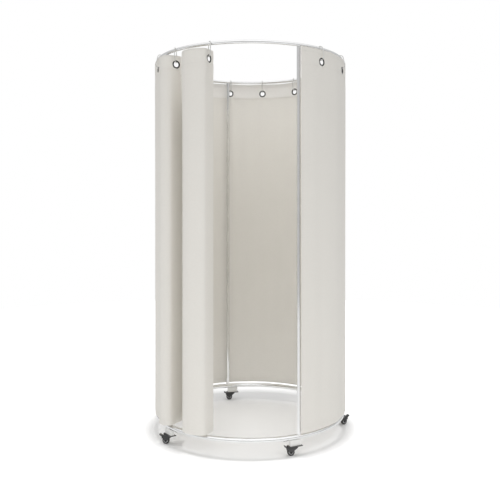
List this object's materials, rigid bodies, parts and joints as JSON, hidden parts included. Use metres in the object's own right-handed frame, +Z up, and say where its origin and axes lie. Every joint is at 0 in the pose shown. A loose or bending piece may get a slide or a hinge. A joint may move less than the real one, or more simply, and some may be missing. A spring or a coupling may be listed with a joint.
{
  "type": "portable fitting room",
  "caption": "Round portable fitting room on braked casters: two tube rings and posts carry a curtain on loops, which slides along the top ring to close the doorway.",
  "frame": {"origin": "on the floor, on the axis of the two rings", "axes": "+Z up, -Y out through the doorway, +X to the right of someone who looks in through the doorway"},
  "size_m": [1.0482, 1.0079, 1.9373],
  "materials": {
    "tube_chrome": "polished",
    "saddle_plastic": "semi-gloss",
    "caster_black": "black, semi-gloss",
    "caster_zinc": "zinc plated",
    "tyre_rubber": "matt",
    "hub_plastic": "matt",
    "curtain_cloth": "plain weave",
    "eyelet_metal": "dark nickel",
    "loop_plastic": "satin"
  },
  "bodies": {
    "frame": {"top_ring_arc_1": "tube_chrome", "base_ring_arc_1": "tube_chrome", "post_front_right": "tube_chrome", "caster_saddle_front_right": "saddle_plastic", "caster_plate_front_right": "caster_black", "top_ring_arc_2": "tube_chrome", "base_ring_arc_2": "tube_chrome", "post_right": "tube_chrome", "caster_saddle_right": "saddle_plastic", "caster_plate_right": "caster_black", "top_ring_arc_3": "tube_chrome", "base_ring_arc_3": "tube_chrome", "post_back_left": "tube_chrome", "caster_saddle_back_left": "saddle_plastic", "caster_plate_back_left": "caster_black", "top_ring_arc_4": "tube_chrome", "base_ring_arc_4": "tube_chrome", "post_front_left": "tube_chrome", "caster_saddle_front_left": "saddle_plastic", "caster_plate_front_left": "caster_black", "curtain_right": "curtain_cloth", "curtain_back": "curtain_cloth", "curtain_left": "curtain_cloth", "curtain_loop_1": "loop_plastic", "curtain_loop_2": "loop_plastic", "curtain_loop_3": "loop_plastic", "curtain_loop_4": "loop_plastic", "curtain_loop_5": "loop_plastic", "curtain_loop_6": "loop_plastic", "curtain_loop_7": "loop_plastic", "curtain_loop_8": "loop_plastic", "curtain_loop_9": "loop_plastic", "curtain_loop_10": "loop_plastic", "curtain_loop_11": "loop_plastic"},
    "swivel_front_right": {"caster_fork_front_right": "caster_black", "caster_axle_front_right": "caster_zinc"},
    "wheel_front_right": {"caster_hub_front_right": "hub_plastic", "caster_tyre_front_right": "tyre_rubber"},
    "pedal_front_right": {"brake_pedal_front_right": "caster_black"},
    "swivel_right": {"caster_fork_right": "caster_black", "caster_axle_right": "caster_zinc"},
    "wheel_right": {"caster_hub_right": "hub_plastic", "caster_tyre_right": "tyre_rubber"},
    "pedal_right": {"brake_pedal_right": "caster_black"},
    "swivel_back_left": {"caster_fork_back_left": "caster_black", "caster_axle_back_left": "caster_zinc"},
    "wheel_back_left": {"caster_hub_back_left": "hub_plastic", "caster_tyre_back_left": "tyre_rubber"},
    "pedal_back_left": {"brake_pedal_back_left": "caster_black"},
    "swivel_front_left": {"caster_fork_front_left": "caster_black", "caster_axle_front_left": "caster_zinc"},
    "wheel_front_left": {"caster_hub_front_left": "hub_plastic", "caster_tyre_front_left": "tyre_rubber"},
    "pedal_front_left": {"brake_pedal_front_left": "caster_black"},
    "curtain_mid": {"curtain_fold_mid": "curtain_cloth", "eyelet_mid": "eyelet_metal", "curtain_loop_mid": "loop_plastic"},
    "curtain_lead": {"curtain_fold_lead": "curtain_cloth", "eyelet_lead": "eyelet_metal", "curtain_loop_lead": "loop_plastic"}
  },
  "joints": [
    {"name": "swivel_front_right", "type": "hinge", "parent": "frame", "child": "swivel_front_right", "pos_m": [0.20966, -0.43956, 0.0437], "axis": [0, 0, 1], "continuous": true},
    {"name": "wheel_front_right", "type": "hinge", "parent": "swivel_front_right", "child": "wheel_front_right", "pos_m": [0.19084, -0.4422, 0.0175], "axis": [0.1392, -0.9903, 0], "continuous": true},
    {"name": "pedal_front_right", "type": "hinge", "parent": "swivel_front_right", "child": "pedal_front_right", "pos_m": [0.17698, -0.44415, 0.036], "axis": [0.1392, -0.9903, 0], "range_deg": [0, 10]},
    {"name": "swivel_right", "type": "hinge", "parent": "frame", "child": "swivel_right", "pos_m": [0.487, 0, 0.0437], "axis": [0, 0, 1], "continuous": true},
    {"name": "wheel_right", "type": "hinge", "parent": "swivel_right", "child": "wheel_right", "pos_m": [0.50345, 0.0095, 0.0175], "axis": [-0.5, 0.866, 0], "continuous": true},
    {"name": "pedal_right", "type": "hinge", "parent": "swivel_right", "child": "pedal_right", "pos_m": [0.51558, 0.0165, 0.036], "axis": [-0.5, 0.866, 0], "range_deg": [0, 10]},
    {"name": "swivel_back_left", "type": "hinge", "parent": "frame", "child": "swivel_back_left", "pos_m": [-0.10706, 0.47508, 0.0437], "axis": [0, 0, 1], "continuous": true},
    {"name": "wheel_back_left", "type": "hinge", "parent": "swivel_back_left", "child": "wheel_back_left", "pos_m": [-0.12607, 0.47508, 0.0175], "axis": [0, -1, 0], "continuous": true},
    {"name": "pedal_back_left", "type": "hinge", "parent": "swivel_back_left", "child": "pedal_back_left", "pos_m": [-0.14006, 0.47508, 0.036], "axis": [0, -1, 0], "range_deg": [0, 10]},
    {"name": "swivel_front_left", "type": "hinge", "parent": "frame", "child": "swivel_front_left", "pos_m": [-0.39399, -0.28625, 0.0437], "axis": [0, 0, 1], "continuous": true},
    {"name": "wheel_front_left", "type": "hinge", "parent": "swivel_front_left", "child": "wheel_front_left", "pos_m": [-0.41281, -0.28361, 0.0175], "axis": [-0.1392, -0.9903, 0], "continuous": true},
    {"name": "pedal_front_left", "type": "hinge", "parent": "swivel_front_left", "child": "pedal_front_left", "pos_m": [-0.42667, -0.28166, 0.036], "axis": [-0.1392, -0.9903, 0], "range_deg": [0, 10]},
    {"name": "curtain_slide_mid", "type": "hinge", "parent": "frame", "child": "curtain_mid", "pos_m": [0, 0, 1.924], "axis": [0, 0, 1], "range_deg": [0, 24]},
    {"name": "curtain_slide_lead", "type": "hinge", "parent": "curtain_mid", "child": "curtain_lead", "pos_m": [0, 0, 1.924], "axis": [0, 0, 1], "range_deg": [0, 24]}
  ],
  "couplings": [
    {"joint": "curtain_slide_lead", "follows": "curtain_slide_mid", "ratio": 1}
  ]
}
